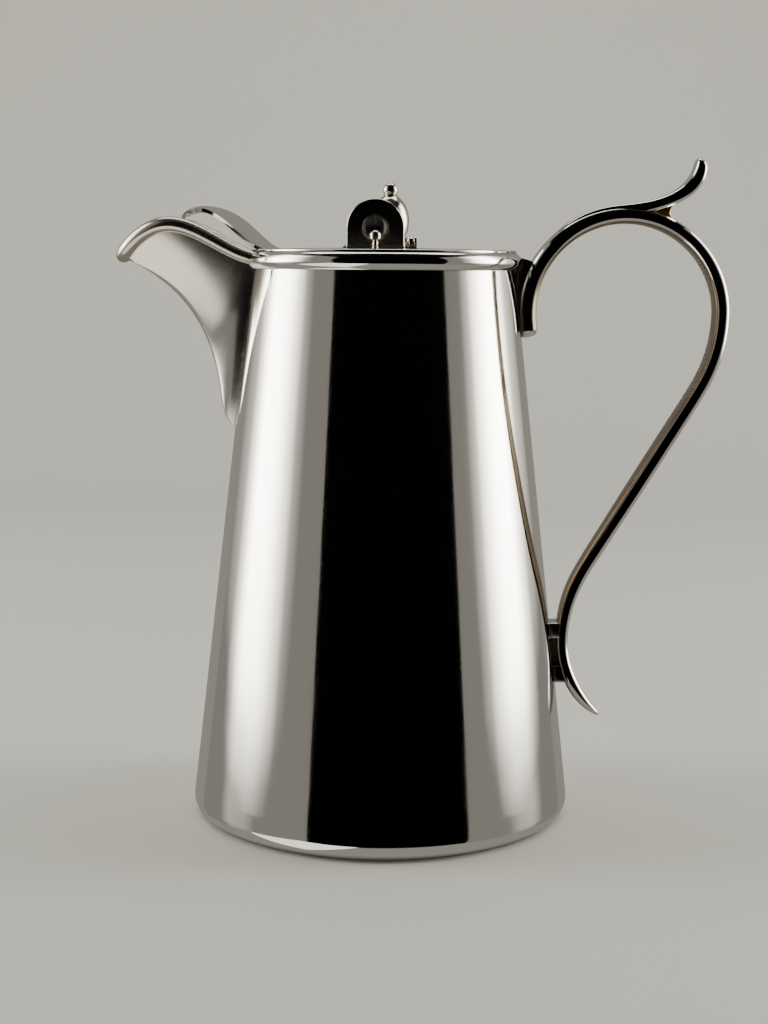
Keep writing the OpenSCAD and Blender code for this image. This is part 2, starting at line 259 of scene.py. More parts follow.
def prism(name, outline, y0, y1):
    """An outline in the X-Z plane, drawn, filled and extruded across the pot."""
    piece = new_piece(name)
    draw([(x, y0, z) for x, z in outline], closed=True)
    bpy.ops.mesh.select_all(action="SELECT")
    bpy.ops.mesh.edge_face_add()
    bpy.ops.mesh.extrude_region_move(TRANSFORM_OT_translate={"value": (0, (y1 - y0) * MM, 0)})
    weld()
    return piece


def done(piece, finish, body, node=None, angle=35):
    """Smooths the shading, gives the piece its finish, puts it under its body and hides the CAD node it
    stands for.
    """
    if bpy.context.mode != "OBJECT":
        bpy.ops.object.mode_set(mode="OBJECT")
    bpy.ops.object.select_all(action="DESELECT")
    piece.select_set(True)
    bpy.context.view_layer.objects.active = piece
    bpy.ops.object.shade_smooth_by_angle(angle=math.radians(angle))
    piece.data.materials.clear()
    piece.data.materials.append(finish)
    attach(piece, body)
    if node:
        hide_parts(node)
    return piece


# ---------------------------------------------------------------------------
# Materials
# ---------------------------------------------------------------------------


def colour(text):
    """An sRGB hex value as linear red, green, blue and alpha."""
    parts = [int(text[i:i + 2], 16) / 255 for i in (1, 3, 5)]
    return [p / 12.92 if p <= 0.04045 else ((p + 0.055) / 1.055) ** 2.4 for p in parts] + [1]


def add(tree, kind, links=(), **settings):
    """Adds a node. Settings are its own properties, or its sockets' values by name, and
    links are (socket, source node, source socket)."""
    made = tree.nodes.new(kind)
    for key, value in settings.items():
        if hasattr(made, key):
            setattr(made, key, value)
        else:
            made.inputs[int(key[1:]) if key[0] == "_" else key.replace("_", " ")].default_value = value
    for socket, source, output in links:
        tree.links.new(source.outputs[output], made.inputs[socket])
    return made


def per_metre(size_mm):
    """The pattern scale that repeats once in this many millimetres."""
    return 1 / (size_mm * MM)


def silver(name, tint, grime, roughness, haze, scratches, dents, tarnish):
    """Silver plate, polished by hand. Haze is how far its roughness drifts, scratches how
    deep the hairlines lie, dents how far the sheet waves, tarnish how dark corners are."""
    material = bpy.data.materials.new(name)
    material.use_nodes = True
    tree = material.node_tree
    shader = tree.nodes["Principled BSDF"]
    shader.inputs["Metallic"].default_value = 1
    place = add(tree, "ShaderNodeTexCoord")
    # Hairlines from years of cloth polishing: noise drawn out in three directions
    lines = []
    for turn, size in (((0.3, 0.2, 0.5), 0.35), ((1.2, 0.6, 2.1), 0.5), ((0.5, 1.4, 1.1), 0.3)):
        lie = add(tree, "ShaderNodeMapping", [("Vector", place, "Object")], Rotation=turn,
                  Scale=(per_metre(size), per_metre(size * 60), per_metre(size)))
        noise = add(tree, "ShaderNodeTexNoise", [("Vector", lie, "Vector")], Scale=1.0, Detail=2.0)
        lines.append(add(tree, "ShaderNodeMapRange", [("Value", noise, "Fac")],
                         From_Min=0.62, From_Max=0.75))
    two = add(tree, "ShaderNodeMath", [(0, lines[0], 0), (1, lines[1], 0)], operation="MAXIMUM")
    hairs = add(tree, "ShaderNodeMath", [(0, two, 0), (1, lines[2], 0)], operation="MAXIMUM")
    # Handling marks come and go in patches about 30 mm across
    patch = add(tree, "ShaderNodeTexNoise", [("Vector", place, "Object")],
                Scale=per_metre(30), Detail=4.0, Roughness=0.6)
    marked = add(tree, "ShaderNodeMapRange", [("Value", patch, "Fac")], From_Min=0.42, From_Max=0.68)
    # Pits: a few dark specks, one in a 4 mm cell, where the plate has gone
    cells = add(tree, "ShaderNodeTexVoronoi", [("Vector", place, "Object")], Scale=per_metre(4))
    speck = add(tree, "ShaderNodeMapRange", [("Value", cells, "Distance")],
                From_Min=0.055, From_Max=0.03)
    chosen = add(tree, "ShaderNodeSeparateColor", [("Color", cells, "Color")])
    rare = add(tree, "ShaderNodeMath", [(0, chosen, "Red")], operation="GREATER_THAN", _1=0.8)
    pits = add(tree, "ShaderNodeMath", [(0, speck, 0), (1, rare, 0)], operation="MULTIPLY")
    # Tarnish gathers where polish and cloth don't reach
    corner = add(tree, "ShaderNodeAmbientOcclusion", Distance=2.5 * MM, samples=8)
    dark = add(tree, "ShaderNodeMapRange", [("Value", corner, "AO")],
               From_Min=0.75, From_Max=0.25, To_Max=tarnish)
    dirt = add(tree, "ShaderNodeMath", [(0, dark, 0), (1, pits, 0)], operation="MAXIMUM")
    base = add(tree, "ShaderNodeMix", [("Factor", dirt, 0)], data_type="RGBA",
               _6=colour(tint), _7=colour(grime))
    tree.links.new(base.outputs[2], shader.inputs["Base Color"])
    hazy = add(tree, "ShaderNodeMath", [(0, marked, 0)], operation="MULTIPLY_ADD", _1=haze, _2=roughness)
    dull = add(tree, "ShaderNodeMath", [(0, dirt, 0), (2, hazy, 0)], operation="MULTIPLY_ADD", _1=0.3)
    hair_dull = add(tree, "ShaderNodeMath", [(0, hairs, 0), (2, dull, 0)], operation="MULTIPLY_ADD", _1=0.05)
    tree.links.new(hair_dull.outputs[0], shader.inputs["Roughness"])
    # Slow waves of the hammered and spun sheet, then the hairlines and pits on top
    wave = add(tree, "ShaderNodeTexNoise", [("Vector", place, "Object")], Scale=per_metre(26), Detail=1.0)
    waved = add(tree, "ShaderNodeBump", [("Height", wave, "Fac")], Strength=1.0, Distance=dents * MM)
    relief = add(tree, "ShaderNodeMath", [(0, hairs, 0), (1, pits, 0)], operation="ADD")
    final = add(tree, "ShaderNodeBump", [("Height", relief, 0), ("Normal", waved, "Normal")],
                Strength=scratches, Distance=0.02 * MM, invert=True)
    tree.links.new(final.outputs["Normal"], shader.inputs["Normal"])
    return material


# Mirror-polished silver plate: near-white, almost sharp reflections with a little haze
polished = silver("polished_silver_plate", "#F6F3EC", "#5A4A34", 0.04, 0.045, 0.1, 0.07, 0.8)
# The spout was finished with a coarser mop: reflections blur into a satin sheen
satin = silver("satin_silver_plate", "#EDE8DE", "#5A4632", 0.19, 0.06, 0.08, 0.1, 0.8)
# Cast and soldered fittings: polished on top, brown tarnish in every corner
fitting = silver("cast_silver_fittings", "#DDD7CC", "#3E2E20", 0.12, 0.08, 0.2, 0.04, 0.95)
# The wire round the spout's lip: worn, greyer and softer than the sheet
worn = silver("worn_silver_wire", "#CFC6B8", "#4A3828", 0.2, 0.12, 0.3, 0.05, 0.9)
# The inner face of the strap: plate painted a darker brown, a painted reflection of the dim surroundings that
# the inward and downward faces look at
painted_reflection_brown = silver("silver_painted_brown_reflection", "#94836F", "#33241A", 0.26, 0.16, 0.5, 0.05, 0.9)
# Inside and under the pot: plate left dull from the soldering and rinsing
inside = silver("unpolished_silver_inside", "#D9D2C4", "#4A3A28", 0.34, 0.1, 0.4, 0.1, 0.7)
# Brass-coloured hard solder with a dull skin
gold_solder = silver("golden_hard_solder", "#D9B36A", "#6A4A20", 0.28, 0.15, 0.6, 0.2, 0.6)


# ---------------------------------------------------------------------------
# Body, base and rim
# ---------------------------------------------------------------------------

corner_x = BASE_R - CORNER_R / math.cos(TAPER)
taper_deg = math.degrees(TAPER)
HOLE_ROWS = 7
HOLE_R = 1.6
HOLE_GAP = 4.3
HOLE_RISE = 6.2
HOLE_LOW_Z = 131


def side_heights():
    """Rows up the wall, 5 mm apart, so that the pouring holes disturb only their own rows."""
    first = CORNER_R * (1 + math.sin(TAPER))
    count = 34
    return [first + (SHELL_H - first) * i / count for i in range(1, count + 1)]


def make_body():
    outside = arc(corner_x, CORNER_R, CORNER_R, -90, taper_deg, 8)
    outside += [(body_radius(z), z) for z in side_heights()]
    inside_up = arc(corner_x, CORNER_R, CORNER_R - WALL, -90, taper_deg, 8)
    inside_up += [(body_radius(z) - WALL, z) for z in side_heights()]
    outline = [(DISC_R, 0)] + outside + inside_up[::-1] + [(DISC_R, WALL), (DISC_R, 0)]
    piece = lathe("pot_body", outline, steps=192)
    cut(piece, pouring_drill())
    return done(piece, polished, "pot", "body_shell")


def pouring_drill():
    """Bars for the pouring holes behind the spout: each row up holds a few more."""
    drill = new_piece("drill")
    for k in range(HOLE_ROWS):
        n = 1 + math.floor(0.7 * k)
        for i in range(n):
            place = Vector((-46, (i - (n - 1) / 2) * HOLE_GAP, HOLE_LOW_Z + k * HOLE_RISE)) * MM
            bpy.ops.mesh.primitive_cylinder_add(vertices=24, radius=HOLE_R * MM, depth=24 * MM,
                                                location=place, rotation=(0, math.pi / 2, 0))
    return drill


def make_base():
    outline = [(0, 0), (DISC_R - 0.6, 0), (DISC_R - 0.1, 0.15), (DISC_R - 0.1, WALL), (0, WALL)]
    return done(lathe("base_disc", outline, steps=128), inside, "pot", "base_plate")


def make_rim():
    chord = math.degrees(math.asin(BEAD_RISE / BEAD_R))
    outline = arc(BEAD_X, BEAD_Z, BEAD_R, -66, chord, 16)
    outline += [(BEAD_X - 0.9, RIM_TOP), (BEAD_X - 1.6, RIM_TOP - 0.6), (BEAD_X - 1.6, SHELL_H + 0.4),
                (BEAD_X - 0.9, SHELL_H)]
    return done(lathe("rim_bead_ring", outline + outline[:1], steps=192), polished, "pot", "rim_bead")


# ---------------------------------------------------------------------------
# Spout
# ---------------------------------------------------------------------------

KEEL_TIP_Z = 122.6
KEEL_W = 1.5
SPOUT_W = 10.8
SPOUT_WALL = 1.1
LIP_WIRE_R = 2.35
KEEL = [(-50.5, 0, 126.5), (-52.5, 0, 146), (-56.5, 0, 163.5), (-79.5, 0, 175)]
LIP_BACK = [(-39.2, 10.8, 175.7), (-47, 11.2, 176.4), (-57, 10.8, 186.2), (-66, 9.2, 186.2)]
LIP_FRONT = [(-66, 9.2, 186.2), (-73, 8, 186.6), (-81.2, 4.4, 178.2), (-81.6, 0, 176.2)]
RIM_SHARE = 0.45
KEEL_SHARE = 0.08


def lip(t):
    """The line of the lip bead, from the rim to the middle of the lip."""
    return bezier(LIP_BACK, 2 * t) if t < 0.5 else bezier(LIP_FRONT, 2 * t - 1)


def wall_edge(s):
    """The open edge of the spout wall: up the body, then along the lip."""
    if s >= RIM_SHARE:
        return lip(0.98 * (s - RIM_SHARE) / (1 - RIM_SHARE))
    t = s / RIM_SHARE
    z = KEEL_TIP_Z + (SHELL_H + 2 - KEEL_TIP_Z) * t
    y = KEEL_W + (SPOUT_W - KEEL_W) * t ** 0.85
    return Vector((0.7 - math.sqrt(body_radius(z) ** 2 - y * y), y, z))


def keel(s):
    foot = Vector((-body_radius(KEEL_TIP_Z) - 0.2, 0, KEEL_TIP_Z))
    if s < KEEL_SHARE:
        return foot.lerp(Vector(KEEL[0]), s / KEEL_SHARE)
    return bezier(KEEL, (s - KEEL_SHARE) / (1 - KEEL_SHARE))


def spout_row(s, side_points=6):
    """One row over the spout: near edge, keel strip, far edge."""
    edge = wall_edge(s)
    foot = keel(s) + Vector((0, KEEL_W, 0))
    bow = 2.4 * math.sin(math.pi * min(1, s * 1.1))
    middle = (edge + foot) / 2 + Vector((-0.5, 0.8, -0.3)) * bow
    near = []
    for i in range(side_points + 1):
        u = i / side_points
        near.append(edge * (1 - u) ** 2 + middle * 2 * u * (1 - u) + foot * u * u)
    return near + [Vector((p.x, -p.y, p.z)) for p in near[::-1]]


def make_spout():
    rows = [spout_row(i / 16) for i in range(17)]
    piece = loft("spout_sheet", rows)
    face_out(piece, Vector((-1, 0, -0.4)))
    smoothed(piece)
    apply_modifier(piece, "SOLIDIFY", thickness=SPOUT_WALL * MM, offset=-1)
    return done(piece, satin, "pot", "spout_shell", angle=40)


def face_out(piece, direction):
    """Turns an open sheet so that its faces look, on the whole, along a direction."""
    bpy.ops.mesh.select_all(action="SELECT")
    mesh = bmesh.from_edit_mesh(piece.data)
    if sum(f.normal.dot(direction) * f.calc_area() for f in mesh.faces) < 0:
        bpy.ops.mesh.flip_normals()


def make_lip_bead():
    """The wire along the spout's edge, drawn as a thick curve and turned into a mesh."""
    bpy.ops.object.select_all(action="DESELECT")
    bpy.ops.curve.primitive_nurbs_path_add(location=(0, 0, 0))
    wire = bpy.context.object
    wire.name = "lip_bead"
    wire.data.splines.clear()
    half = [lip(i / 16) for i in range(17)]
    points = half + [Vector((p.x, -p.y, p.z)) for p in half[-2::-1]]
    spline = wire.data.splines.new("NURBS")
    spline.points.add(len(points) - 1)
    spline.use_endpoint_u = True
    spline.order_u = 4
    spline.resolution_u = 4
    for i, (slot, p) in enumerate(zip(spline.points, points)):
        slot.co = (*(p * MM), 1)
        from_middle = abs(2 * i / (len(points) - 1) - 1)
        slot.radius = 1 - 0.15 * from_middle ** 3
    wire.data.dimensions = "3D"
    wire.data.bevel_depth = LIP_WIRE_R * MM
    wire.data.bevel_resolution = 6
    wire.data.use_fill_caps = True
    bpy.ops.object.convert(target="MESH")
    bpy.ops.object.mode_set(mode="EDIT")
    weld()
    return done(wire, worn, "pot", "spout_bead")


# ---------------------------------------------------------------------------
# Handle
# ---------------------------------------------------------------------------

ARCH_R = 30.6
ARCH = Vector((75.3, 0, 159.3))
ROOT_DEG = 194.5
LEAN = 31.4
CHAIN = [(ARCH_R, -ROOT_DEG), (46, -LEAN), (0, 67), (44, LEAN), (31, 54)]
STEP_DEG = 8
# Thickness and width of the strap at distances from its root
STRAP_T = [(0, 6.2), (52, 5.1), (104, 4.7), (165, 5), (205, 4.3), (222, 3.7), (236, 4.2), (244, 3),
           (250, 0.7)]
STRAP_SOFT = 0.42
STRAP_W = [(0, 11), (52, 10.6), (150, 10.2), (222, 8.6), (236, 9.4), (244, 7), (250, 1.5)]


def strap_line():
    """The strap's middle line: x, z, heading and distance from the root at each step."""
    x = ARCH.x + ARCH_R * math.cos(math.radians(ROOT_DEG))
    z = ARCH.z + ARCH_R * math.sin(math.radians(ROOT_DEG))
    heading, s = ROOT_DEG - 90, 0
    line = [(x, z, heading, s)]
    for radius, amount in CHAIN:
        count = 6 if radius == 0 else math.ceil(abs(amount) / STEP_DEG)
        length = amount / count if radius == 0 else radius * math.radians(abs(amount)) / count
        bend = 0 if radius == 0 else amount / count
        for _ in range(count):
            way = math.radians(heading + bend / 2)
            x, z = x + length * math.cos(way), z + length * math.sin(way)
            heading, s = heading + bend, s + length
            line.append((x, z, heading, s))
    return line


def bar_section(upper, lower, wide, soft):
    """A rounded section across a bar, between its upper and its lower edge."""
    middle, up, over = (upper + lower) / 2, (upper - lower).normalized(), Vector((0, 1, 0))
    thick = (upper - lower).length
    r = min(soft, 0.45 * thick, 0.45 * wide)
    ring = []
    for su, sv, start in ((1, 1, 0), (-1, 1, 90), (-1, -1, 180), (1, -1, 270)):
        for step in range(4):
            a = math.radians(start + 30 * step)
            ring.append(middle + up * (su * (thick / 2 - r) + r * math.cos(a))
                        + over * (sv * (wide / 2 - r) + r * math.sin(a)))
    return ring


def strap_section(x, z, heading, thick, wide):
    """The section across the strap where it runs along a heading in the X-Z plane."""
    way = math.radians(heading + 90)
    half = Vector((math.cos(way), 0, math.sin(way))) * thick / 2
    middle = Vector((x, 0, z))
    return bar_section(middle + half, middle - half, wide, STRAP_SOFT * min(thick, wide))


def make_strap():
    rows = []
    for x, z, heading, s in strap_line():
        rows.append(strap_section(x, z, heading, along(STRAP_T, s), along(STRAP_W, s)))
    piece = loft("handle_strap_bar", rows, closed=True, caps=True)
    smoothed(piece)
    done(piece, polished, "pot", "handle_strap")
    # The faces turned in towards the hand get the second material, the painted brown reflection
    piece.data.materials.append(painted_reflection_brown)
    for face in piece.data.polygons:
        if face.normal.dot(inward(face.center / MM)) > 0.6:
            face.material_index = 1
    return piece


def inward(place):
    """The direction towards the hand, square to the strap, at the nearest point of its line."""
    x, z, heading, _ = min(strap_line(), key=lambda p: (p[0] - place.x) ** 2 + (p[1] - place.z) ** 2)
    turn = math.radians(heading - 90)
    return Vector((math.cos(turn), 0, math.sin(turn)))


SPUR_ROOT = [(50.2, 0, 180.9), (58, 0, 190.5), (66, 0, 192.6), (75, 0, 193.4)]
SPUR_TOP = [(75, 0, 193.4), (84, 0, 194.3), (95, 0, 197), (96.6, 0, 206.4)]
SPUR_UNDER = [(82.5, 0, 190.6), (90, 0, 192.6), (99.5, 0, 196), (100, 0, 204.3)]
SPUR_BED_R = ARCH_R + 0.6
SOLDER_HALF_W = 3.5
BLOCK_HALF_W = 4
WAIST_HALF_W = 2
# The last two sections of the spur close its blunt tip: upper edge, lower edge, width
SPUR_TIP = [((96.9, 0, 207.3), (99.9, 0, 205.6), 7.6), ((97.7, 0, 207.6), (99.5, 0, 206.5), 6.2)]


def on_bed(point):
    """The point in the middle of the strap, straight below a point of the spur's top."""
    way = (point - ARCH).normalized()
    return ARCH + way * SPUR_BED_R


def make_spur():
    """The horn: it rises out of the arch, leaves it and turns up to a blunt tip."""
    rows = []
    for i in range(6):
        upper = bezier(SPUR_ROOT, i / 6)
        rows.append(bar_section(upper, on_bed(upper), 8.6, 0.9))
    for i in range(4):
        upper = bezier(SPUR_TOP, i / 16)
        rows.append(bar_section(upper, on_bed(upper), 8.9, 1.2))
    for i in range(12):
        s = i / 11
        wide = along([(0, 9), (0.6, 9), (1, 8.4)], s)
        rows.append(bar_section(bezier(SPUR_TOP, 0.25 + 0.75 * s), bezier(SPUR_UNDER, s), wide, 1.5))
    for upper, lower, wide in SPUR_TIP:
        rows.append(bar_section(Vector(upper), Vector(lower), wide, 1.2))
    piece = loft("thumb_spur", rows, closed=True, caps=True)
    smoothed(piece)
    return done(piece, polished, "pot", "handle_spur")


def make_solder():
    """A web of solder with a hollow front, run into the crotch under the spur."""
    above = [(82.5, 190.4), (86.5, 191.8), (89.6, 192.9)]
    hollow = [(88.9, 191.6), (88.7, 190.4), (89.4, 189.2)]
    below = [(91, 187.7), (88, 188.6), (85, 189.8)]
    piece = prism("spur_solder_fillet", above + hollow + below, -SOLDER_HALF_W, SOLDER_HALF_W)
    rounded(piece, 0.35)
    return done(piece, gold_solder, "pot", "spur_solder")


def make_blocks():
    """The packing that stands the strap off the body, at the rim and low down."""
    outer = [(41.6, 153.6), (43.6, 153.6), (44.4, 166), (46.4, 169.5)]
    top = [(48.5, 174.8), (44.5, 176.3), (42.2, 176.9), (41, 170)]
    rim = prism("rim_packing", outer + top, -BLOCK_HALF_W, BLOCK_HALF_W)
    rounded(rim, 0.5)
    done(rim, fitting, "pot", "handle_rim_block")
    # The foot is a block at each end and a narrow waist between them
    outline = [(53.5, 41.5), (61, 41.5), (60.2, 44), (59.3, 47), (53.5, 47)]
    foot = prism("foot_packing", outline, -BLOCK_HALF_W, BLOCK_HALF_W)
    rounded(foot, 0.5)
    outline = [(53, 56), (58, 56), (58, 61), (52.5, 61)]
    upper = prism("foot_packing_upper", outline, -BLOCK_HALF_W, BLOCK_HALF_W)
    rounded(upper, 0.5)
    outline = [(53, 46), (59.5, 46), (58.4, 49), (58, 53), (58, 57), (53, 57)]
    waist = prism("foot_packing_waist", outline, -WAIST_HALF_W, WAIST_HALF_W)
    join(foot, upper, waist)
    done(foot, fitting, "pot", "handle_lower_foot")


def join(piece, *others):
    """Makes several meshes one piece."""
    if bpy.context.mode != "OBJECT":
        bpy.ops.object.mode_set(mode="OBJECT")
    bpy.ops.object.select_all(action="DESELECT")
    for other in others:
        other.select_set(True)
    piece.select_set(True)
    bpy.context.view_layer.objects.active = piece
    bpy.ops.object.join()


# ---------------------------------------------------------------------------
# Lid
# ---------------------------------------------------------------------------


def lid_blank(name, seat):
    """The whole domed lid, before it is cut in two."""
    rings = 10
    over = [(DOME_R * i / rings, lid_height(DOME_R * i / rings)) for i in range(rings + 1)]
    edge = arc(LID_R - 0.4, LID_EDGE - 0.4, 0.4, 90, 0, 4) + [(LID_R, seat + 0.1), (LID_R - 0.1, seat)]
    under = [(r, h - LID_EDGE + seat) for r, h in over]
    return lathe(name, over + edge + under[::-1], steps=160)


def lid_plan(name, grow):
    """A block that covers the fixed half: all behind the split, with a tongue under each lug."""
    piece = new_piece(name)
    split, notch = SPLIT_X - grow, TONGUE_X - grow
    inner, outer = TONGUE_IN - grow, TONGUE_OUT + grow
    plan = [(60, -60), (60, 60), (split, 60), (split, outer), (notch, outer), (notch, inner), (split, inner)]
    plan += [(split, -inner), (notch, -inner), (notch, -outer), (split, -outer), (split, -60)]
    draw([(x, y, RIM_TOP - 5) for x, y in plan], closed=True)
    bpy.ops.mesh.select_all(action="SELECT")
    bpy.ops.mesh.edge_face_add()
    bpy.ops.mesh.extrude_region_move(TRANSFORM_OT_translate={"value": (0, 0, 12 * MM)})
    weld()
    bpy.ops.object.mode_set(mode="OBJECT")
    return piece


def make_lid():
    rear = lid_blank("lid_fixed_half", RIM_TOP)
    cut(rear, lid_plan("rear_cutter", 0), "INTERSECT")
    done(rear, polished, "pot", "lid_rear")
    flap = lid_blank("lid_front_flap", RIM_TOP + 0.05)
    cut(flap, lid_plan("flap_cutter", SLOT))
    done(flap, polished, "flap", "lid_flap")


# ---------------------------------------------------------------------------
# Spout cover
# ---------------------------------------------------------------------------

RIDGE_BACK = [(-31, 0, 178.6), (-38, 0, 180), (-42, 0, 192), (-56, 0, 192)]
RIDGE_TIP = [(-56, 0, 192), (-59.5, 0, 192), (-61.8, 0, 190.6), (-63.2, 0, 188.4)]
COVER_BACK = [(-35.5, 7.4, 178.4), (-43.5, 9.8, 179.8), (-47, 10, 188.5), (-56, 8.4, 191.2)]
COVER_TIP = [(-56, 8.4, 191.2), (-60, 7.4, 191.1), (-62.6, 4.2, 189.8), (-63.2, 1, 188.5)]
COVER_T = 1.1


def cover_row(t, points=5):
    """One row across the cover: crowned in the middle, turned down at both edges."""
    if t < 0.7:
        top, edge = bezier(RIDGE_BACK, t / 0.7), bezier(COVER_BACK, t / 0.7)
    else:
        top, edge = bezier(RIDGE_TIP, (t - 0.7) / 0.3), bezier(COVER_TIP, (t - 0.7) / 0.3)
    near = []
    for i in range(1, points + 1):
        u = i / points
        near.append(Vector((top.x + (edge.x - top.x) * u, edge.y * u, top.z + (edge.z - top.z) * u * u)))
    return [Vector((p.x, -p.y, p.z)) for p in near[::-1]] + [top] + near


def make_cover():
    rows = [cover_row(i / 18) for i in range(19)]
    piece = loft("spout_cover_leaf", rows)
    face_out(piece, Vector((0.2, 0, 1)))
    smoothed(piece)
    apply_modifier(piece, "SOLIDIFY", thickness=COVER_T * MM, offset=-1)
    return done(piece, polished, "flap", "spout_hood", angle=40)


# ---------------------------------------------------------------------------
# Hinge
# ---------------------------------------------------------------------------


def lug_outline():
    """A round-topped plate with a small flare where it meets the lid."""
    top = arc(HINGE.x, HINGE.z, LUG_W, 0, 180, 28)
    side, foot, flare = HINGE.x - LUG_W, lid_height(LUG_W) - 0.2, 0.35
    left = [(side, foot + 1.6), (side - 0.1, foot + 0.7), (side - flare, foot)]
    right = [(2 * HINGE.x - x, z) for x, z in left[::-1]]
    return top + left + right


def ear_outline():
    foot = lid_height(8) + 0.01
    top = arc(HINGE.x, HINGE.z, 4.2, -60, 190, 20)
    return top + [(HINGE.x - 5.4, HINGE.z - 3.2), (HINGE.x - 10.5, foot), (SPLIT_X - SLOT - 0.3, foot)]


def make_hinge():
    for side, far in ((-1, False), (1, True)):
        tag = "far" if far else "near"
        ends = sorted((side * LUG_IN, side * LUG_OUT))
        lug = prism("lug_" + tag, lug_outline(), *ends)
        rounded(lug, 0.65)
        cut(lug, across_pin("bore", PIN_R + 0.05, side, LUG_IN - 1, LUG_OUT + 1))
        done(lug, fitting, "pot", "hinge_lug_" + tag)
        ends = sorted((side * EAR_IN, side * EAR_OUT))
        ear = prism("ear_" + tag, ear_outline(), *ends)
        rounded(ear, 0.25)
        done(ear, fitting, "flap", "flap_ear_" + tag)
        pin = across_pin("pin_" + tag, PIN_R, side, EAR_IN, BOSS_Y + 0.2)
        done(pin, fitting, "flap", "hinge_pin_" + tag)
        make_boss(side, tag)
        make_keeper(tag)


def across_pin(name, radius, side, near, far):
    """A bar on the hinge axis, between two distances from the middle."""
    piece = lathe(name, [(0, near), (radius, near), (radius, far), (0, far)], steps=48)
    laid(piece, -90 * side, "X", (HINGE.x, 0, HINGE.z))
    return piece


def make_boss(side, tag):
    """The dished end of a pin."""
    top = high("pin_boss_far").y
    foot = [(0, BOSS_Y), (BOSS_R - 0.1, BOSS_Y), (BOSS_R, BOSS_Y + 0.1)]
    brim = [(BOSS_R, top - 0.3), (BOSS_R - 0.1, top - 0.1), (BOSS_R - 0.3, top), (BOSS_R - 0.55, top - 0.05)]
    dish_r = BOSS_R - BOSS_LIP
    dish = [(dish_r * u, top - 0.15 - 0.8 * (1 - u * u)) for u in (1, 0.9, 0.8, 0.65, 0.5, 0.35, 0.2, 0.1, 0)]
    boss = lathe("boss_" + tag, foot + brim + dish, steps=64)
    laid(boss, -90 * side, "X", (HINGE.x, 0, HINGE.z))
    done(boss, fitting, "flap", "pin_boss_" + tag)


def make_keeper(tag):
    """The ball-headed post that stands on the lid in front of a boss."""
    node = "pin_keeper_" + tag
    middle, top = (low(node) + high(node)) / 2, high(node).z
    foot = lid_height(14.9) - 0.15
    post = [(0, foot), (1.9, foot), (1.7, foot + 0.25), (1.1, foot + 0.6), (0.85, foot + 1)]
    ball = [(KEEPER_R * math.cos(math.radians(a)), top - KEEPER_R + KEEPER_R * math.sin(math.radians(a)))
            for a in range(-62, 89, 10)]
    keeper = lathe("keeper_" + tag, post + ball + [(0, top)], steps=48, centre=(middle.x, middle.y, 0))
    done(keeper, fitting, "pot", node)


# ---------------------------------------------------------------------------
# Knob and stop
# ---------------------------------------------------------------------------

KNOB_LEAN = 4
KNOB_BALL_R = 2.3


def make_knob():
    """The egg on its small foot, and the ball on top of it."""
    x, foot = 1.0, LID_TOP - 0.1
    tall = high("knob_body").z - foot
    wide, half = 6.2, 8.6
    egg = [(0, 0), (3.5, 0), (3.7, 0.3), (3.6, 0.8), (3.9, 1.4)]
    egg += [(wide * math.cos(math.radians(a)), tall - half + half * math.sin(math.radians(a)))
            for a in range(-40, 65, 8)]
    # The neck under the ball swells out of the egg
    egg += [(2.2, tall - 0.45), (1.7, tall - 0.1), (1.5, tall + 0.3), (0, tall + 0.3)]
    knob = lathe("knob_egg", egg, steps=96, centre=(x, 0, foot))
    swing(knob, KNOB_LEAN, "Y", (x, 0, foot))
    done(knob, fitting, "pot", "knob_body")
    top = (low("knob_ball") + high("knob_ball")) / 2
    neck = [(0, -2.6), (1.3, -2.6), (1.1, -2.1), (1.5, -1.8)]
    ball = arc(0, 0, KNOB_BALL_R, -48, 84, 11)
    centre = (top.x, 0, high("knob_ball").z - KNOB_BALL_R)
    bead = lathe("knob_bead", neck + ball + [(0, KNOB_BALL_R)], steps=64, centre=centre)
    done(bead, fitting, "pot", "knob_ball")


def make_stop():
    disc_r, button_r, button_x = 2.3, 2.1, 1.3
    place = (low("stop_plate") + high("stop_plate")) / 2
    centre = (low("stop_plate").x, place.y, high("stop_plate").z - disc_r)
    rim = [(2.2, 0), (disc_r, 0.15), (disc_r, 0.75), (2.2, 0.9)]
    disc = lathe("stop_disc", [(0, 0)] + rim + [(0, 0.9)], steps=48)
    laid(disc, 90, "Y", centre)
    done(disc, fitting, "pot", "stop_plate")
    outline = [(0, -0.1), (1.7, -0.1)] + arc(0, button_x, button_r, -30, 90, 10)
    button = lathe("stop_knob", outline, steps=48)
    laid(button, -90, "Y", centre)
    done(button, fitting, "pot", "stop_button")


# ---------------------------------------------------------------------------
# Stage, lights and camera
# ---------------------------------------------------------------------------


def plain(name, tint, roughness):
    material = bpy.data.materials.new(name)
    material.use_nodes = True
    shader = material.node_tree.nodes["Principled BSDF"]
    shader.inputs["Base Color"].default_value = colour(tint)
    shader.inputs["Roughness"].default_value = roughness
    return material


# How bright the studio is at each bearing from the front, in degrees: a dim edge, then the
# lit cloth, then the dim wall behind.
LEFT_GLOW = [(-42, 0.2), (-60, 0.22), (-68, 0.6), (-76, 3), (-88, 10), (-102, 12), (-112, 3),
             (-120, 0.8), (-135, 0.3)]
RIGHT_GLOW = [(52, 0.16), (66, 0.26), (74, 1), (82, 5), (92, 12), (103, 14), (113, 5), (122, 1.2),
              (138, 0.4)]
# How that light rises, from heights in metres. Cards and cloths hang past the floor, which the
# silver doesn't see, so that its reflections fade towards its foot, never below a dim grey.
RISE = [(-0.5, 0.03), (-0.16, 0.05), (-0.1, 0.22), (-0.03, 0.7), (0.1, 0.95), (0.25, 1), (0.6, 0.7),
        (1.2, 0.35)]
WALL_FOOT = -0.5
GLOW_LEAST = 0.22
GLOW_MAX = 14
CARD_R = 1.15
FLAG_FROM, FLAG_TO = -42.5, 52.5


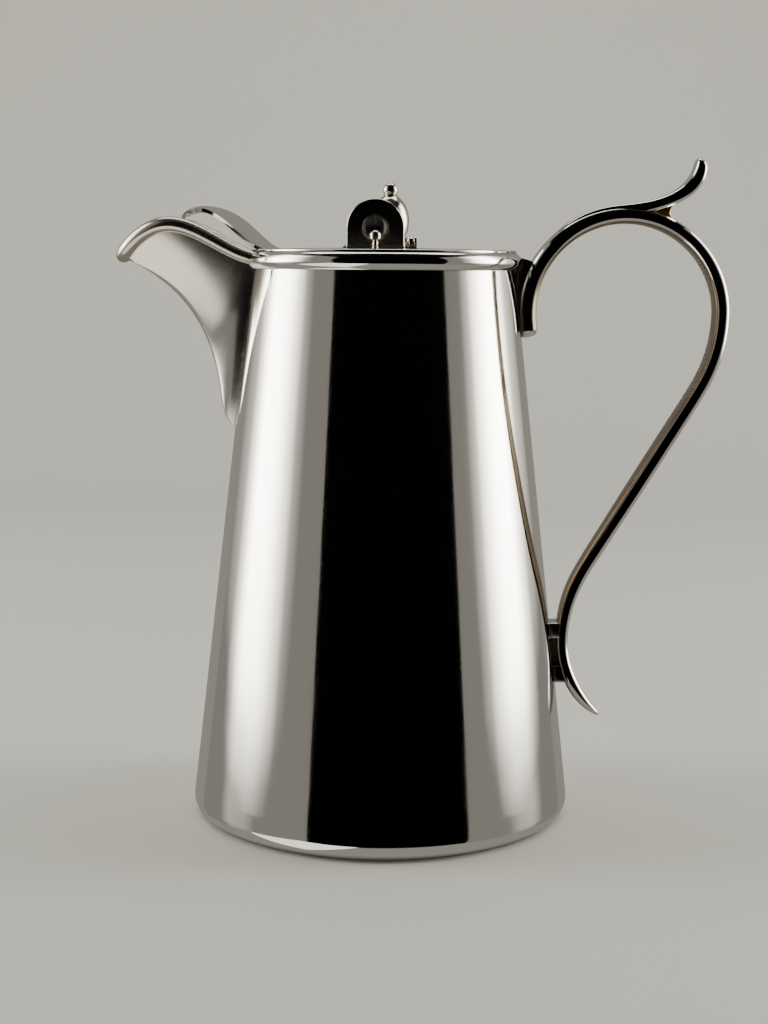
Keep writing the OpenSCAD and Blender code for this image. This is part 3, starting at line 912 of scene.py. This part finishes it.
def ramp(tree, value, source, stops, brightest):
    """A colour ramp through (position, brightness) stops."""
    made = add(tree, "ShaderNodeValToRGB", [("Fac", value, source)])
    band = made.color_ramp.elements
    while len(band) < len(stops):
        band.new(0.5)
    for element, (place, bright) in zip(band, sorted(stops)):
        element.position = place
        element.color = (*[bright / brightest] * 3, 1)
    return made


def diffuser(name, glow):
    """Light cloth whose brightness follows the bearing and the height."""
    material = bpy.data.materials.new(name)
    material.use_nodes = True
    tree = material.node_tree
    tree.nodes.remove(tree.nodes["Principled BSDF"])
    place = add(tree, "ShaderNodeTexCoord")
    split = add(tree, "ShaderNodeSeparateXYZ", [("Vector", place, "Object")])
    front = add(tree, "ShaderNodeMath", [(0, split, "Y")], operation="MULTIPLY", _1=-1.0)
    bearing = add(tree, "ShaderNodeMath", [(0, split, "X"), (1, front, 0)], operation="ARCTAN2")
    turn = add(tree, "ShaderNodeMapRange", [("Value", bearing, 0)], From_Min=-math.pi, From_Max=math.pi)
    across = ramp(tree, turn, "Result", [(0.5 + a / 360, g) for a, g in glow], GLOW_MAX)
    tall = RISE[-1][0] - WALL_FOOT
    climb = add(tree, "ShaderNodeMapRange", [("Value", split, "Z")],
                From_Min=WALL_FOOT, From_Max=RISE[-1][0])
    upward = ramp(tree, climb, "Result", [((z - WALL_FOOT) / tall, g) for z, g in RISE], 1)
    both = add(tree, "ShaderNodeMath", [(0, across, "Color"), (1, upward, "Color")], operation="MULTIPLY")
    strength = add(tree, "ShaderNodeMath", [(0, both, 0)], operation="MULTIPLY", _1=float(GLOW_MAX))
    kept = add(tree, "ShaderNodeMath", [(0, strength, 0)], operation="MAXIMUM", _1=GLOW_LEAST)
    light = add(tree, "ShaderNodeEmission", [("Strength", kept, 0)], Color=colour("#FFFBF2"))
    tree.links.new(light.outputs[0], tree.nodes["Material Output"].inputs["Surface"])
    return material


def wall(name, start, end, radius, top, material):
    """An upright curved card round the pot, between two bearings from the front."""
    card = new_piece(name)
    a = math.radians(start)
    x, y = radius * math.sin(a) / MM, -radius * math.cos(a) / MM
    draw([(x, y, WALL_FOOT / MM), (x, y, top / MM)])
    bpy.ops.mesh.select_all(action="SELECT")
    bpy.ops.mesh.spin(steps=32, angle=math.radians(start - end), center=(0, 0, 0), axis=(0, 0, 1))
    weld()
    bpy.ops.object.mode_set(mode="OBJECT")
    card.data.materials.append(material)
    card.visible_camera = False
    return card


def bounce():
    """A dimmer light cloth, which fills the underside of the spout."""
    material = bpy.data.materials.new("bounce_light_cloth")
    material.use_nodes = True
    tree = material.node_tree
    tree.nodes.remove(tree.nodes["Principled BSDF"])
    light = add(tree, "ShaderNodeEmission", Color=colour("#FFFBF2"), Strength=1.5)
    tree.links.new(light.outputs[0], tree.nodes["Material Output"].inputs["Surface"])
    return material


def level_card(name, x0, x1, y0, y1, z, material):
    """A level card, in millimetres, that only the silver sees."""
    card = new_piece(name)
    draw([(x0, y0, z), (x1, y0, z), (x1, y1, z), (x0, y1, z)], closed=True)
    bpy.ops.mesh.select_all(action="SELECT")
    bpy.ops.mesh.edge_face_add()
    bpy.ops.object.mode_set(mode="OBJECT")
    card.data.materials.append(material)
    card.visible_camera = False
    reflection_only(card)


def reflection_only(card):
    """Leaves a card to be seen in the silver alone, as a flag that casts no shade."""
    card.visible_diffuse = card.visible_shadow = card.visible_transmission = False


def panel_light(name, place, aim, size, watts):
    bpy.ops.object.select_all(action="DESELECT")
    bpy.ops.object.light_add(type="AREA", location=place)
    lamp = bpy.context.object
    lamp.name = name
    lamp.data.shape = "RECTANGLE"
    lamp.data.size, lamp.data.size_y = size
    lamp.data.energy = watts
    lamp.rotation_euler = (Vector(aim) - Vector(place)).to_track_quat("-Z", "Y").to_euler()
    lamp.visible_camera = False
    return lamp


def make_stage():
    bpy.ops.object.select_all(action="DESELECT")
    bpy.ops.mesh.primitive_plane_add(size=1, location=(0, 0, 0))
    floor = bpy.context.object
    floor.name = "floor"
    bpy.ops.object.mode_set(mode="EDIT")
    bpy.ops.transform.resize(value=(6, 6, 1), center_override=(0, 0, 0))
    # The back edge is drawn in to 0.7 m behind the pot and swept up as a backdrop
    pick(lambda v: v.y > 2)
    bpy.ops.transform.translate(value=(0, -2.3, 0))
    sweep = 0.5
    for i in range(12):
        a0, a1 = math.radians(7.5 * i), math.radians(7.5 * (i + 1))
        run, rise = sweep * (math.sin(a1) - math.sin(a0)), sweep * (math.cos(a0) - math.cos(a1))
        bpy.ops.mesh.extrude_region_move(TRANSFORM_OT_translate={"value": (0, run, rise)})
    bpy.ops.mesh.extrude_region_move(TRANSFORM_OT_translate={"value": (0, 0, 2)})
    bpy.ops.object.mode_set(mode="OBJECT")
    bpy.ops.object.shade_smooth_by_angle(angle=math.radians(60))
    floor.data.materials.append(plain("pale_floor", "#B9B8B0", 0.8))
    floor.visible_glossy = False
    for side, start, end, glow in (("left", FLAG_FROM, -135, LEFT_GLOW), ("right", FLAG_TO, 138, RIGHT_GLOW)):
        wall(side + "_diffuser", start, end, CARD_R, 1.2, diffuser(side + "_light_cloth", glow))
    black = plain("black_flag", "#030303", 1)
    black.node_tree.nodes["Principled BSDF"].inputs["Specular IOR Level"].default_value = 0
    reflection_only(wall("front_flag", FLAG_FROM, FLAG_TO, CARD_R, 1.1, black))
    level_card("roof_flag", -800, 900, -1150, 150, 1100, black)
    level_card("spout_bounce", -700, -150, -650, -90, -250, bounce())
    panel_light("top_softbox", (0, 0.2, 1.5), (0, 0.1, 0), (1.4, 1.2), 14)
    world = bpy.data.worlds.new("studio_grey")
    bpy.context.scene.world = world
    world.use_nodes = True
    world.node_tree.nodes["Background"].inputs["Color"].default_value = colour("#9C9B94")
    world.node_tree.nodes["Background"].inputs["Strength"].default_value = 0.8


def make_camera():
    bpy.ops.object.camera_add(location=(0.0, -0.566, 0.175))
    camera = bpy.context.object
    camera.name = "camera"
    camera.data.lens = 62.93
    camera.data.sensor_width = 36
    camera.data.clip_start = 0.01
    pitch, roll = math.radians(90 - 7.95), math.radians(-0.4)
    camera.rotation_euler = (pitch, roll, 0)
    bpy.context.scene.camera = camera


make_camera()
make_body()
make_base()
make_rim()
make_spout()
make_lip_bead()
make_strap()
make_spur()
make_solder()
make_blocks()
make_lid()
make_cover()
make_hinge()
make_knob()
make_stop()
for name in ("knob_stud", "knob_nut"):
    hidden = frame["nodes"][name]
    hidden.data.materials.clear()
    hidden.data.materials.append(inside)
make_stage()
